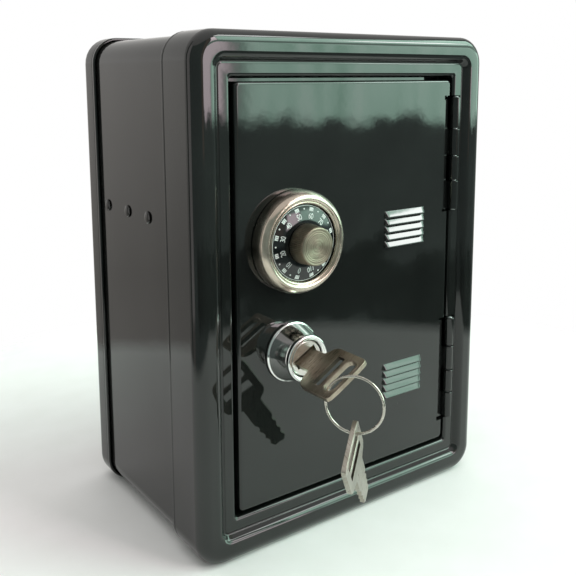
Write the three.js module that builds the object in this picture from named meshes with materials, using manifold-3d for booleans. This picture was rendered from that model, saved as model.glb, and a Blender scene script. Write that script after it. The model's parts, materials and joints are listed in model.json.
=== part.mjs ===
// Toy safe coin bank: a pressed-steel box with a hinged door, a combination dial and a key lock.
// Millimetres, +Z up, door towards -Y. The case is drawn centred on X and Y, standing on Z = 0,
// and the finished group is shifted so that the origin is at the bottom centre of the whole object.
import * as THREE from "three";
import { mergeVertices } from "three/addons/utils/BufferGeometryUtils.js";
import Module from "manifold-3d";

const wasm = await Module();
wasm.setup();

// ---------------------------------------------------------------- driving dimensions
const GAP = 0.3; // clearance between pieces that meet
const SHEET = 1; // sheet steel thickness

const CASE_W = 132;
const CASE_D = 88;
const CASE_H = 180;
const CASE_R = 10; // corner radius seen from the front
const PROUD = 1.3; // how far the front frame and the back cover stand out from the body

const FRAME_DEPTH = 20.5;
const FRAME_EDGE = 4.5; // rounding of the front frame's outer edge
const STEP_INSET = 7.5; // outside of the case to the step's outer edge
const STEP_WIDTH = 3;
const STEP_DEPTH = 2.2;
const OPENING_INSET = 15;
const STOP_WIDTH = 4; // door stop flange inside the opening

const BACK_DEPTH = 12;
const BACK_EDGE = 5;
const BODY_FRONT_Y = -38;
const BODY_BACK_Y = 40;

const DOOR_GAP = 1.4;
const DOOR_SET_BACK = 2; // door face behind the front of the frame
const DOOR_DEPTH = 8; // folded edge of the door
const DOOR_EDGE = 1.2;

const COIN_SLOT = { length: 40, frontY: 26.4 }; // a bay in the roof, open behind up to the back cover

const SHELF_Z = 123; // top of the shelf
const SHELF_FLANGE = 11;
const SHELF_FRONT_Y = -22;
const SHELF_BACK_Y = 38;
const RIVET_Z = 116.8;
const RIVET_YS = [-8.6, 8, 25.7];

const LOUVRE = { x: 25.8, length: 20.2, pitch: 2.85, count: 5, radius: 1.25, slot: 0.75 };
const LOUVRE_ZS = { upper: 108.2, lower: 48.4 };

const HINGE = { x: 52.6, y: -41.7, radius: 2, pin: 1, bore: 1.28, leaf: 0.8, leafWidth: 18, frameLeaf: 10 };
const HINGE_NOTCH_X = 46.2; // the door is cut back to here beside each barrel
const HINGE_CLEAR = 0.6; // room above and below each hinge
const HINGES = {
  upper: { top: 157, cuts: [144.7, 134, 124.2], bottom: 112.6 },
  lower: { top: 67.6, cuts: [55.75, 45.5, 35.9], bottom: 25 },
};

const DIAL = { x: -25.95, z: 109.4, radius: 17.9, plate: 13.2, knob: 7, spindle: 2.4 };
const DIAL_STUD = { x: 9.5, radius: 1.2, hole: 1.5 }; // the ring's two fixing studs
const LOCK = { x: -27.7, z: 70.15, base: 10.7, face: 8.1, barrel: 8, plug: 6.2, faceY: -52.05, rearY: -32.3 };
const CAM_REACH = 26;

const KEY = {
  angle: 30, // blade above horizontal
  thickness: 1.6,
  bow: 18.8,
  bowShift: -1.1, // the bow sits a little to one side of the blade
  bowLength: 17,
  blade: 8.4,
  length: 36,
  bar: 1.8, // metal between the end slot and the end of the bow
  slot: 4.2,
  slotHalf: 6.6,
};
const KEY_END_Y = -74.3; // far end of the main key's bow
const RING = { radius: 9.5, wire: 0.5, yaw: 54.6, drop: 7.3, along: -0.7, forward: 1.07 };
const SPARE_TILT = 36; // the spare key hangs from the end of its slot, so it leans in its own plane

const FRONT_Y = -CASE_D / 2;
const BACK_Y = CASE_D / 2;
const DOOR_Y = FRONT_Y + DOOR_SET_BACK;
const DOOR_REAR_Y = DOOR_Y + SHEET;
const DOOR_BACK_Y = DOOR_Y + DOOR_DEPTH;
const STOP_Y = DOOR_BACK_Y + 0.6; // front of the door stop flange
const STOP_BACK_Y = STOP_Y + SHEET;

// ---------------------------------------------------------------- materials
const blackPaint = new THREE.MeshStandardMaterial({ color: 0x0b0c0c, roughness: 0.12, metalness: 0 });
const nickel = new THREE.MeshStandardMaterial({ color: 0xb5ab9a, roughness: 0.3, metalness: 1 });
const chrome = new THREE.MeshStandardMaterial({ color: 0xd8dadb, roughness: 0.08, metalness: 1 });
const zinc = new THREE.MeshStandardMaterial({ color: 0xa9adaf, roughness: 0.4, metalness: 1 });
const brass = new THREE.MeshStandardMaterial({ color: 0xb8954a, roughness: 0.35, metalness: 1 });
const dialBlack = new THREE.MeshStandardMaterial({ color: 0x101214, roughness: 0.35, metalness: 0 });

// ---------------------------------------------------------------- solids
function toSolid(geometry) {
  const bare = geometry.clone();
  bare.deleteAttribute("normal");
  bare.deleteAttribute("uv");
  const merged = mergeVertices(bare, 1e-4);
  const index = merged.index.array;
  const triangles = [];
  for (let i = 0; i < index.length; i += 3) {
    const [a, b, c] = [index[i], index[i + 1], index[i + 2]];
    if (a !== b && b !== c && c !== a) {
      triangles.push(a, b, c);
    }
  }
  return new wasm.Manifold(new wasm.Mesh({
    numProp: 3,
    vertProperties: new Float32Array(merged.attributes.position.array),
    triVerts: new Uint32Array(triangles),
  }));
}

function toGeometry(solid) {
  const mesh = solid.getMesh();
  const geometry = new THREE.BufferGeometry();
  geometry.setAttribute("position", new THREE.BufferAttribute(new Float32Array(mesh.vertProperties), 3));
  geometry.setIndex(new THREE.BufferAttribute(new Uint32Array(mesh.triVerts), 1));
  geometry.computeVertexNormals();
  return geometry;
}

function join(...solids) {
  return solids.reduce((sum, next) => sum.add(next));
}

function cut(solid, ...tools) {
  return tools.reduce((rest, tool) => rest.subtract(tool), solid);
}

function box(x0, x1, y0, y1, z0, z1) {
  const geometry = new THREE.BoxGeometry(x1 - x0, y1 - y0, z1 - z0);
  geometry.translate((x0 + x1) / 2, (y0 + y1) / 2, (z0 + z1) / 2);
  return toSolid(geometry);
}

// Closed solid of revolution about Y; the profile is a closed list of [radius, y], in either direction.
function lathe(profile, segments) {
  const points = profile.map(([radius, y]) => new THREE.Vector2(radius, y));
  if (THREE.ShapeUtils.isClockWise(points)) {
    points.reverse();
  }
  points.push(points[0].clone());
  return new THREE.LatheGeometry(points, segments);
}

// Round solid about an axis along Y through (x, z).
function turned(profile, x, z, segments = 32) {
  const geometry = lathe(profile, segments);
  geometry.translate(x, 0, z);
  return toSolid(geometry);
}

function rod(radius, y0, y1, x, z, segments = 24) {
  return turned([[0, y0], [radius, y0], [radius, y1], [0, y1]], x, z, segments);
}

// Outline in X and Z with round corners.
function roundedOutline({ x0, x1, z0, z1, r }) {
  const shape = new THREE.Shape();
  shape.moveTo(x0 + r, z0);
  shape.lineTo(x1 - r, z0);
  shape.absarc(x1 - r, z0 + r, r, -Math.PI / 2, 0, false);
  shape.lineTo(x1, z1 - r);
  shape.absarc(x1 - r, z1 - r, r, 0, Math.PI / 2, false);
  shape.lineTo(x0 + r, z1);
  shape.absarc(x0 + r, z1 - r, r, Math.PI / 2, Math.PI, false);
  shape.lineTo(x0, z0 + r);
  shape.absarc(x0 + r, z0 + r, r, Math.PI, Math.PI * 1.5, false);
  return shape;
}

// The case outline, moved inwards by an inset.
function caseOutline(inset, r) {
  return roundedOutline({
    x0: -CASE_W / 2 + inset,
    x1: CASE_W / 2 - inset,
    z0: inset,
    z1: CASE_H - inset,
    r,
  });
}

// An X-Z outline pushed along Y from y0 (front) to y1 (back).
function slab(shape, y0, y1, curveSegments = 4) {
  const geometry = new THREE.ExtrudeGeometry(shape, { depth: y1 - y0, bevelEnabled: false, curveSegments });
  geometry.rotateX(Math.PI / 2);
  geometry.translate(0, y1, 0);
  return toSolid(geometry);
}

// The same with a rounded edge at the front or at the back: `edge` is its depth and `size` its width.
function roundedSlab(shape, y0, y1, edge, options = {}) {
  const { size = edge, atBack = false, segments = 3, curveSegments = 4 } = options;
  const reach = 60; // the plain end is cut from a longer block
  const depth = y1 - y0 + reach - 2 * edge;
  const geometry = new THREE.ExtrudeGeometry(shape, {
    depth,
    curveSegments,
    bevelEnabled: true,
    bevelThickness: edge,
    bevelSize: size,
    bevelOffset: -size,
    bevelSegments: segments,
  });
  geometry.rotateX(Math.PI / 2);
  geometry.translate(0, atBack ? y1 - edge : y1 + reach - edge, 0);
  return toSolid(geometry).intersect(box(-200, 200, y0, y1, -200, 400));
}

// Turned half way about Z, so that a front becomes a back.
function halfTurn(solid) {
  const geometry = toGeometry(solid);
  geometry.rotateZ(Math.PI);
  return toSolid(geometry);
}

const safe = new THREE.Group();

function addPiece(parent, name, solid, material) {
  const mesh = new THREE.Mesh(toGeometry(solid), material);
  mesh.name = name;
  parent.add(mesh);
  return mesh;
}

// ---------------------------------------------------------------- case
// Tray with a rounded front edge, hollow from behind.
function tray(depth, edge) {
  const rear = FRONT_Y + depth;
  const shell = roundedSlab(caseOutline(0, CASE_R), FRONT_Y, rear, edge);
  const hollow = roundedSlab(
    caseOutline(SHEET, CASE_R - SHEET),
    FRONT_Y + SHEET,
    rear + GAP,
    edge - SHEET,
  );
  return { shell, hollow };
}

function steppedPocket(grow) {
  const inset = STEP_INSET - grow;
  const floor = FRONT_Y + STEP_DEPTH + grow;
  const outline = caseOutline(inset, STEP_WIDTH + 1.5 + grow);
  const options = { size: STEP_WIDTH, atBack: true, curveSegments: 3 };
  return roundedSlab(outline, FRONT_Y - 2, floor, STEP_DEPTH, options);
}

function doorOpening(grow, y0, y1) {
  return slab(caseOutline(OPENING_INSET - grow, 1.2), y0, y1, 2);
}

function frontFrame() {
  const { shell, hollow } = tray(FRAME_DEPTH, FRAME_EDGE);
  const pressed = join(steppedPocket(SHEET), doorOpening(SHEET, FRONT_Y - 2, STOP_BACK_Y));
  const opening = join(
    doorOpening(0, FRONT_Y - 2, STOP_Y),
    doorOpening(-STOP_WIDTH, STOP_Y - GAP, STOP_BACK_Y + GAP),
  );
  const notches = Object.values(HINGES).map(({ top, bottom }) => box(
    CASE_W / 2 - OPENING_INSET - HINGE_CLEAR,
    HINGE.x + HINGE.radius + 0.5,
    FRONT_Y - 1,
    HINGE.y + HINGE.radius + 1.2,
    bottom - HINGE_CLEAR,
    top + HINGE_CLEAR,
  ));
  return cut(shell, steppedPocket(0), opening, hollow.subtract(pressed), ...notches);
}

function bodyShell() {
  const outer = slab(caseOutline(PROUD, CASE_R - PROUD), BODY_FRONT_Y, BODY_BACK_Y);
  const inner = slab(caseOutline(PROUD + SHEET, CASE_R - PROUD - SHEET), BODY_FRONT_Y - 1, BODY_BACK_Y + 1);
  const slot = box(
    -COIN_SLOT.length / 2,
    COIN_SLOT.length / 2,
    COIN_SLOT.frontY,
    BODY_BACK_Y + 1,
    CASE_H - 10,
    CASE_H + 1,
  );
  return cut(outer, inner, slot, ...rivetHoles());
}

function innerShelf() {
  const half = CASE_W / 2 - PROUD - SHEET - GAP;
  const block = box(-half, half, SHELF_FRONT_Y, SHELF_BACK_Y, SHELF_Z - SHELF_FLANGE, SHELF_Z);
  const under = box(
    -half + SHEET,
    half - SHEET,
    SHELF_FRONT_Y + SHEET,
    SHELF_BACK_Y - SHEET,
    SHELF_Z - SHELF_FLANGE - 1,
    SHELF_Z - SHEET,
  );
  const lip = box( // the front and rear flanges are shorter than the side ones
    -half + SHEET,
    half - SHEET,
    SHELF_FRONT_Y - 1,
    SHELF_BACK_Y + 1,
    0,
    SHELF_Z - SHELF_FLANGE + 4,
  );
  return cut(block, under, lip, ...rivetHoles());
}

function rivetHoles() {
  const radius = 1.5;
  return RIVET_YS.map((y) => {
    const geometry = new THREE.CylinderGeometry(radius, radius, CASE_W + 10, 12);
    geometry.rotateZ(Math.PI / 2);
    geometry.translate(0, y, RIVET_Z);
    return toSolid(geometry);
  });
}

// A rivet along X on one side of the case: side is -1 for left and +1 for right.
function shelfRivet(side, y) {
  const wall = CASE_W / 2 - PROUD;
  const inside = wall - 2 * SHEET - 2 * GAP;
  const profile = [
    [0, inside - 0.7],
    [1.6, inside - 0.6],
    [1.9, inside],
    [1.15, inside],
    [1.15, wall + GAP],
    [2.2, wall + GAP],
    [1.7, wall + 0.8],
    [0, wall + 1],
  ];
  const geometry = lathe(profile, 12);
  geometry.rotateZ(side * -Math.PI / 2);
  geometry.translate(0, y, RIVET_Z);
  return toSolid(geometry);
}

addPiece(safe, "front_frame", frontFrame(), blackPaint);
addPiece(safe, "body_shell", bodyShell(), blackPaint);
const backTray = tray(BACK_DEPTH, BACK_EDGE);
addPiece(safe, "back_cover", halfTurn(backTray.shell.subtract(backTray.hollow)), blackPaint);
addPiece(safe, "inner_shelf", innerShelf(), blackPaint);
for (const [sideName, side] of [["left", -1], ["right", 1]]) {
  RIVET_YS.forEach((y, i) => {
    addPiece(safe, `shelf_rivet_${sideName}_${i + 1}`, shelfRivet(side, y), zinc);
  });
}

// ---------------------------------------------------------------- door
function louvre(z) {
  const half = LOUVRE.length / 2;
  const bar = (radius, reach) => {
    const geometry = new THREE.CylinderGeometry(radius, radius, 2 * reach, 8);
    geometry.rotateZ(Math.PI / 2);
    geometry.translate(LOUVRE.x, DOOR_Y, z);
    return toSolid(geometry);
  };
  const hood = bar(LOUVRE.radius, half);
  const [x0, x1] = [LOUVRE.x - half, LOUVRE.x + half];
  const mouth = box(x0 - 1, x1 + 1, DOOR_Y - 2, DOOR_Y, z - 2, z - 0.1);
  const hollow = bar(LOUVRE.slot, half - 0.5);
  const through = box(x0 + 0.5, x1 - 0.5, DOOR_Y, DOOR_Y + 3, z - LOUVRE.slot, z + LOUVRE.slot - 0.2);
  return { hood: hood.subtract(mouth), hole: join(hollow, through) };
}

function louvres() {
  const all = [];
  for (const centre of Object.values(LOUVRE_ZS)) {
    for (let i = 0; i < LOUVRE.count; i += 1) {
      all.push(louvre(centre + (i - (LOUVRE.count - 1) / 2) * LOUVRE.pitch));
    }
  }
  return all;
}

function doorPanel() {
  const outline = (inset, r) => caseOutline(OPENING_INSET + DOOR_GAP + inset, r);
  const options = { segments: 2, curveSegments: 2 };
  const outer = roundedSlab(outline(0, 1.4), DOOR_Y, DOOR_BACK_Y, DOOR_EDGE, options);
  const hollow = slab(outline(SHEET, 0.4), DOOR_REAR_Y, DOOR_BACK_Y + 1, 1);
  const vents = louvres();
  const notches = Object.values(HINGES).map(({ top, bottom }) => box(
    HINGE_NOTCH_X,
    CASE_W / 2,
    DOOR_Y - 1,
    DOOR_BACK_Y + 1,
    bottom - HINGE_CLEAR,
    top + HINGE_CLEAR,
  ));
  const studHoles = [-1, 1].map((side) => {
    const x = DIAL.x + side * DIAL_STUD.x;
    return rod(DIAL_STUD.hole, DOOR_Y - 1, DOOR_REAR_Y + 1, x, DIAL.z, 12);
  });
  return cut(
    join(outer, ...vents.map(({ hood }) => hood)),
    hollow,
    ...vents.map(({ hole }) => hole),
    ...notches,
    ...studHoles,
    rod(3.2, DOOR_Y - 1, DOOR_REAR_Y + 1, DIAL.x, DIAL.z, 16),
    rod(LOCK.barrel + GAP, DOOR_Y - 1, DOOR_REAR_Y + 1, LOCK.x, LOCK.z, 32),
  );
}

addPiece(safe, "door_panel", doorPanel(), blackPaint);

// ---------------------------------------------------------------- hinges
function upright(radius, z0, z1, segments = 16) {
  const geometry = new THREE.CylinderGeometry(radius, radius, z1 - z0, segments);
  geometry.rotateX(Math.PI / 2);
  geometry.translate(HINGE.x, HINGE.y, (z0 + z1) / 2);
  return toSolid(geometry);
}

// One leaf with its two knuckles. The leaf is tangent to the back of the barrel.
function hingeLeaf(spans, x0, x1, z0, z1) {
  const leafY = HINGE.y + HINGE.radius - HINGE.leaf;
  const knuckles = spans.map(([from, to]) => upright(HINGE.radius, from, to));
  const necks = spans.map(([from, to]) => box(
    Math.min(HINGE.x, x0),
    Math.max(HINGE.x, x1),
    leafY,
    leafY + HINGE.leaf,
    from,
    to,
  ));
  const plate = box(x0, x1, leafY, leafY + HINGE.leaf, z0, z1);
  return cut(join(plate, ...necks, ...knuckles), upright(HINGE.bore, z0 - 1, z1 + 1, 20));
}

function hingePieces(name, { top, cuts, bottom }) {
  const slack = GAP / 2;
  const [first, second, third] = cuts;
  const frameSpans = [[first + slack, top], [third + slack, second - slack]];
  const doorSpans = [[second + slack, first - slack], [bottom, third - slack]];
  const clear = HINGE.radius + 0.9;
  addPiece(
    safe,
    `hinge_${name}_frame_leaf`,
    hingeLeaf(frameSpans, HINGE.x + clear, HINGE.x + HINGE.frameLeaf, bottom + 1, top),
    blackPaint,
  );
  addPiece(
    safe,
    `hinge_${name}_door_leaf`,
    hingeLeaf(doorSpans, HINGE.x - HINGE.leafWidth, HINGE.x - clear, bottom, top - 1),
    blackPaint,
  );
  addPiece(safe, `hinge_${name}_pin`, upright(HINGE.pin, bottom - 0.3, top + 0.3, 16), zinc);
}

for (const [name, hinge] of Object.entries(HINGES)) {
  hingePieces(name, hinge);
}

// ---------------------------------------------------------------- dial
const DIAL_PLATE_Y = -47.8; // face of the numbered plate
const DIAL_KNOB_Y = -55; // face of the knob

function dialRing() {
  const foot = DOOR_Y - GAP;
  const profile = [
    [3.2, foot],
    [DIAL.radius, foot],
    [DIAL.radius, foot - 3],
    [DIAL.radius - 0.5, foot - 4.9],
    [DIAL.radius - 1.6, foot - 6.2],
    [DIAL.radius - 2.8, foot - 6.5],
    [DIAL.plate + GAP + 0.5, foot - 6.2],
    [DIAL.plate + GAP, foot - 5.8],
    [DIAL.plate + GAP, foot - 1.5],
    [3.2, foot - 1.5],
  ];
  const studs = [-1, 1].map((side) => {
    const x = DIAL.x + side * DIAL_STUD.x;
    return rod(DIAL_STUD.radius, foot - 1, DOOR_REAR_Y + 2.2, x, DIAL.z, 12);
  });
  return join(turned(profile, DIAL.x, DIAL.z, 36), ...studs);
}

function dialPlate() {
  const profile = [
    [DIAL.spindle + GAP, DIAL_PLATE_Y],
    [DIAL.plate, DIAL_PLATE_Y],
    [DIAL.plate, DIAL_PLATE_Y + 1],
    [4.5, DIAL_PLATE_Y + 1],
    [4.5, DIAL_PLATE_Y + 3.5],
    [DIAL.spindle + GAP, DIAL_PLATE_Y + 3.5],
  ];
  return turned(profile, DIAL.x, DIAL.z, 32);
}

function dialKnob() {
  const base = DIAL_PLATE_Y - GAP;
  const bore = DIAL.spindle + GAP;
  return turned([
    [bore, base],
    [DIAL.knob, base],
    [DIAL.knob - 0.45, DIAL_KNOB_Y + 0.5],
    [DIAL.knob - 0.85, DIAL_KNOB_Y],
    [0, DIAL_KNOB_Y],
    [0, DIAL_KNOB_Y + 2],
    [bore, DIAL_KNOB_Y + 2],
  ], DIAL.x, DIAL.z, 28);
}

function dialSpindle() {
  const front = DIAL_KNOB_Y + 2.3;
  return turned([
    [0, front],
    [0, -36.5],
    [DIAL.spindle, -36.5],
    [DIAL.spindle, -38.4],
    [1.8, -38.4],
    [1.8, -39.4],
    [DIAL.spindle, -39.4],
    [DIAL.spindle, front],
  ], DIAL.x, DIAL.z, 20);
}

// Open ring that snaps into the groove near the spindle's end.
function retainingClip() {
  const disc = turned([[2.05, -39.2], [2.05, -38.6], [4.8, -38.6], [4.8, -39.2]], DIAL.x, DIAL.z, 24);
  return disc.subtract(box(DIAL.x - 1.7, DIAL.x + 1.7, -40, -38, DIAL.z - 6, DIAL.z));
}

function springWasher() {
  const inner = DIAL.spindle + GAP;
  return turned([[inner, -40.6], [inner, -39.8], [6.2, -39.5], [6.2, -40.3]], DIAL.x, DIAL.z, 24);
}

function pushNut(side) {
  const [y0, y1] = [DOOR_REAR_Y + GAP, DOOR_REAR_Y + 1.1];
  return turned([[1.5, y0], [1.5, y1], [3, y1], [3.4, y0]], DIAL.x + side * DIAL_STUD.x, DIAL.z, 16);
}

addPiece(safe, "dial_ring", dialRing(), nickel);
addPiece(safe, "dial_plate", dialPlate(), dialBlack);
addPiece(safe, "dial_knob", dialKnob(), nickel);
addPiece(safe, "dial_spindle", dialSpindle(), zinc);
addPiece(safe, "dial_spring_washer", springWasher(), zinc);
addPiece(safe, "dial_retaining_clip", retainingClip(), zinc);
addPiece(safe, "dial_push_nut_left", pushNut(-1), zinc);
addPiece(safe, "dial_push_nut_right", pushNut(1), zinc);

// ---------------------------------------------------------------- lock
const WAFER_YS = [-48.9, -46.3, -43.7, -41.1];
const CAM_Y = [LOCK.rearY + 0.4, LOCK.rearY + 1.9];
const KEYWAY = { width: KEY.blade + 0.8, height: KEY.thickness + 0.8 };

// Solids of the lock that turn with the key are drawn at the axis and set in a turned group.
const plugGroup = new THREE.Group();
plugGroup.position.set(LOCK.x, 0, LOCK.z);
plugGroup.rotation.y = THREE.MathUtils.degToRad(-KEY.angle);
safe.add(plugGroup);

function lockHousing() {
  const foot = DOOR_Y - GAP;
  const bore = LOCK.plug + 0.4;
  return turned([
    [bore, LOCK.rearY],
    [LOCK.barrel, LOCK.rearY],
    [LOCK.barrel, foot],
    [LOCK.base, foot],
    [LOCK.base, foot - 0.8],
    [LOCK.base - 0.3, foot - 1.1],
    [LOCK.face + 0.1, LOCK.faceY + 0.5],
    [LOCK.face - 0.3, LOCK.faceY],
    [LOCK.face - 0.9, LOCK.faceY],
    [bore, LOCK.faceY + 0.7],
  ], LOCK.x, LOCK.z, 32);
}

function lockNut() {
  const shape = new THREE.Shape();
  const corner = 12;
  for (let i = 0; i < 6; i += 1) {
    const angle = (i * Math.PI) / 3;
    const [x, z] = [LOCK.x + corner * Math.cos(angle), LOCK.z + corner * Math.sin(angle)];
    if (i === 0) {
      shape.moveTo(x, z);
    } else {
      shape.lineTo(x, z);
    }
  }
  const hole = new THREE.Path();
  hole.absarc(LOCK.x, LOCK.z, LOCK.barrel + GAP, 0, Math.PI * 2, true);
  shape.holes.push(hole);
  return slab(shape, DOOR_REAR_Y + GAP, DOOR_REAR_Y + GAP + 3, 12);
}

function lockPlug() {
  const face = LOCK.faceY + 0.9;
  const round = rod(LOCK.plug, face, LOCK.rearY + 0.1, 0, 0, 24);
  const tail = box(-2.5, 2.5, LOCK.rearY - 0.5, CAM_Y[1] - 0.5, -2.5, 2.5);
  const { width, height } = KEYWAY;
  const keywayEnd = KEY_END_Y + KEY.length + 0.6;
  const keyway = box(-width / 2, width / 2, face - 1, keywayEnd, -height / 2, height / 2);
  const mouth = box(-width / 2, width / 2, face - 1, face + 1.6, -height / 2, height / 2 + 1);
  const wafers = WAFER_YS.map((y) => box(-6.05, 6.05, y - 0.7, y + 0.7, -2.5, 2.5));
  return cut(join(round, tail), keyway, mouth, ...wafers, rod(1.5, -37.5, CAM_Y[1] + 1, 0, 0, 12));
}

function lockWafer(y) {
  const shape = roundedOutline({ x0: -5.7, x1: 5.7, z0: -2.2, z1: 2.2, r: 0.3 });
  const hole = roundedOutline({
    x0: -KEYWAY.width / 2,
    x1: KEYWAY.width / 2,
    z0: -KEYWAY.height / 2,
    z1: KEYWAY.height / 2,
    r: 0.2,
  });
  shape.holes.push(new THREE.Path(hole.getPoints(1)));
  return slab(shape, y - 0.4, y + 0.4, 1);
}

// Flat arm on the plug's square tail; it points down when the lock is open.
function lockCam() {
  const hub = 6.5;
  const half = 4.5;
  const shape = new THREE.Shape();
  shape.absarc(LOCK.x, LOCK.z, hub, -Math.PI / 4, Math.PI * 1.25, false);
  shape.lineTo(LOCK.x - half, LOCK.z - CAM_REACH + half);
  shape.absarc(LOCK.x, LOCK.z - CAM_REACH + half, half, Math.PI, Math.PI * 2, false);
  const square = box(-2.8, 2.8, CAM_Y[0] - 1, CAM_Y[1] + 1, -2.8, 2.8);
  const turnedSquare = toGeometry(square);
  turnedSquare.rotateY(THREE.MathUtils.degToRad(-KEY.angle));
  turnedSquare.translate(LOCK.x, 0, LOCK.z);
  return slab(shape, CAM_Y[0], CAM_Y[1], 6).subtract(toSolid(turnedSquare));
}

function camWasher() {
  const y = CAM_Y[1] + GAP;
  return turned([[1.6, y], [1.6, y + 0.8], [4.6, y + 0.8], [4.6, y]], LOCK.x, LOCK.z, 20);
}

function camScrew() {
  const seat = CAM_Y[1] + GAP + 0.8 + GAP;
  const screw = turned([
    [0, seat + 1.9],
    [1.8, seat + 1.8],
    [3, seat + 1],
    [3, seat],
    [1.2, seat],
    [1.2, -37],
    [0, -37],
  ], LOCK.x, LOCK.z, 20);
  const blade = box(LOCK.x - 4, LOCK.x + 4, seat + 1, seat + 3, LOCK.z - 0.35, LOCK.z + 0.35);
  const cross = box(LOCK.x - 0.35, LOCK.x + 0.35, seat + 1, seat + 3, LOCK.z - 4, LOCK.z + 4);
  return cut(screw, blade, cross);
}

addPiece(safe, "lock_housing", lockHousing(), chrome);
addPiece(safe, "lock_nut", lockNut(), zinc);
addPiece(plugGroup, "lock_plug", lockPlug(), chrome);
WAFER_YS.forEach((y, i) => {
  addPiece(plugGroup, `lock_wafer_${i + 1}`, lockWafer(y), brass);
});
addPiece(safe, "lock_cam", lockCam(), zinc);
addPiece(safe, "lock_cam_washer", camWasher(), zinc);
addPiece(safe, "lock_cam_screw", camScrew(), zinc);

// ---------------------------------------------------------------- keys and ring
// A key lies in its own X-Y plane: the bow's far end on Y = 0, the blade's tip at Y = KEY.length.
function keySolid() {
  const right = KEY.bowShift + KEY.bow / 2;
  const left = KEY.bowShift - KEY.bow / 2;
  const blade = KEY.blade / 2;
  const shape = new THREE.Shape();
  shape.moveTo(left + 1, 0);
  shape.lineTo(right - 1, 0);
  shape.lineTo(right, 1);
  shape.lineTo(right, KEY.bowLength - 3);
  shape.lineTo(right - 1.2, KEY.bowLength - 1);
  shape.lineTo(blade + 0.5, KEY.bowLength);
  shape.lineTo(blade, KEY.bowLength + 0.8);
  const cuts = [
    [0, 25], [-0.9, 26], [-0.9, 27], [-0.2, 28], [-1.2, 29.4], [-1.2, 30.4], [-0.5, 31.4], [-1.4, 32.6],
    [-1.4, 33.4], [-0.8, 34.4],
  ];
  for (const [dip, y] of cuts) {
    shape.lineTo(blade + dip, y);
  }
  shape.lineTo(blade - 2, KEY.length);
  shape.lineTo(-blade + 2, KEY.length);
  for (const [dip, y] of cuts.reverse()) {
    shape.lineTo(-blade - dip, y);
  }
  shape.lineTo(-blade, KEY.bowLength + 0.8);
  shape.lineTo(-blade - 0.5, KEY.bowLength);
  shape.lineTo(left + 1.2, KEY.bowLength - 1);
  shape.lineTo(left, KEY.bowLength - 3);
  shape.lineTo(left, 1);
  const across = (half) => ({ x0: KEY.bowShift - half, x1: KEY.bowShift + half });
  const ringSlot = roundedOutline({ ...across(KEY.slotHalf), z0: KEY.bar, z1: KEY.bar + KEY.slot, r: 1.2 });
  const window = roundedOutline({ ...across(6.4), z0: KEY.bar + KEY.slot + 2, z1: 11.2, r: 0.4 });
  shape.holes.push(new THREE.Path(ringSlot.getPoints(3)), new THREE.Path(window.getPoints(1)));
  const geometry = new THREE.ExtrudeGeometry(shape, { depth: KEY.thickness, bevelEnabled: false });
  geometry.translate(0, 0, -KEY.thickness / 2);
  return toSolid(geometry);
}

const mainKey = addPiece(plugGroup, "main_key", keySolid(), nickel);
mainKey.position.y = KEY_END_Y;

// The ring threads the key's end slot, so its plane crosses the key's plane along a chord.
const keyAngle = THREE.MathUtils.degToRad(KEY.angle);
const ringYaw = THREE.MathUtils.degToRad(RING.yaw);
const keyAcross = new THREE.Vector3(Math.cos(keyAngle), 0, Math.sin(keyAngle));
const keyNormal = new THREE.Vector3(-Math.sin(keyAngle), 0, Math.cos(keyAngle));
const ringNormal = new THREE.Vector3(-Math.sin(ringYaw), -Math.cos(ringYaw), 0);
const ringSide = new THREE.Vector3(Math.cos(ringYaw), -Math.sin(ringYaw), 0);
const up = new THREE.Vector3(0, 0, 1);
const chord = new THREE.Vector3().crossVectors(keyNormal, ringNormal).normalize();
const drop = new THREE.Vector3().crossVectors(ringNormal, chord).normalize();
if (drop.z > 0) {
  drop.negate();
}
const barCentre = new THREE.Vector3(LOCK.x, KEY_END_Y + KEY.bar / 2, LOCK.z);
const ringCentre = barCentre.clone()
  .addScaledVector(keyAcross, KEY.bowShift + RING.along)
  .setY(barCentre.y - RING.forward)
  .addScaledVector(drop, RING.drop);
const ringBottom = ringCentre.clone().addScaledVector(up, -RING.radius);

function ringSolid() {
  const sides = 6;
  const section = [];
  for (let i = 0; i < sides; i += 1) {
    const angle = (i / sides) * Math.PI * 2;
    section.push([RING.radius + RING.wire * Math.cos(angle), RING.wire * Math.sin(angle)]);
  }
  return toSolid(lathe(section, 32));
}

const keyRing = addPiece(safe, "key_ring", ringSolid(), chrome);
keyRing.quaternion.setFromRotationMatrix(new THREE.Matrix4().makeBasis(
  ringSide,
  ringNormal,
  new THREE.Vector3().crossVectors(ringSide, ringNormal),
));
keyRing.position.copy(ringCentre);

// The ring's lowest point passes through the end of the spare key's slot.
const spareTilt = THREE.MathUtils.degToRad(SPARE_TILT);
const spareAcross = up.clone()
  .multiplyScalar(Math.sin(spareTilt))
  .addScaledVector(ringNormal, -Math.cos(spareTilt));
const spareAlong = up.clone()
  .multiplyScalar(-Math.cos(spareTilt))
  .addScaledVector(ringNormal, -Math.sin(spareTilt));
const spareKey = addPiece(safe, "spare_key", keySolid(), nickel);
spareKey.quaternion.setFromRotationMatrix(new THREE.Matrix4().makeBasis(
  spareAcross,
  spareAlong,
  new THREE.Vector3().crossVectors(spareAcross, spareAlong),
));
const holdClear = RING.wire + 0.45; // from the middle of the wire to the slot's end
spareKey.position.copy(ringBottom)
  .addScaledVector(spareAcross, -(KEY.bowShift + KEY.slotHalf - holdClear))
  .addScaledVector(spareAlong, -(KEY.bar + holdClear));

// ---------------------------------------------------------------- origin
const bounds = new THREE.Box3().setFromObject(safe, true);
safe.position.set(-(bounds.min.x + bounds.max.x) / 2, -(bounds.min.y + bounds.max.y) / 2, -bounds.min.z);

export default safe;
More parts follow.
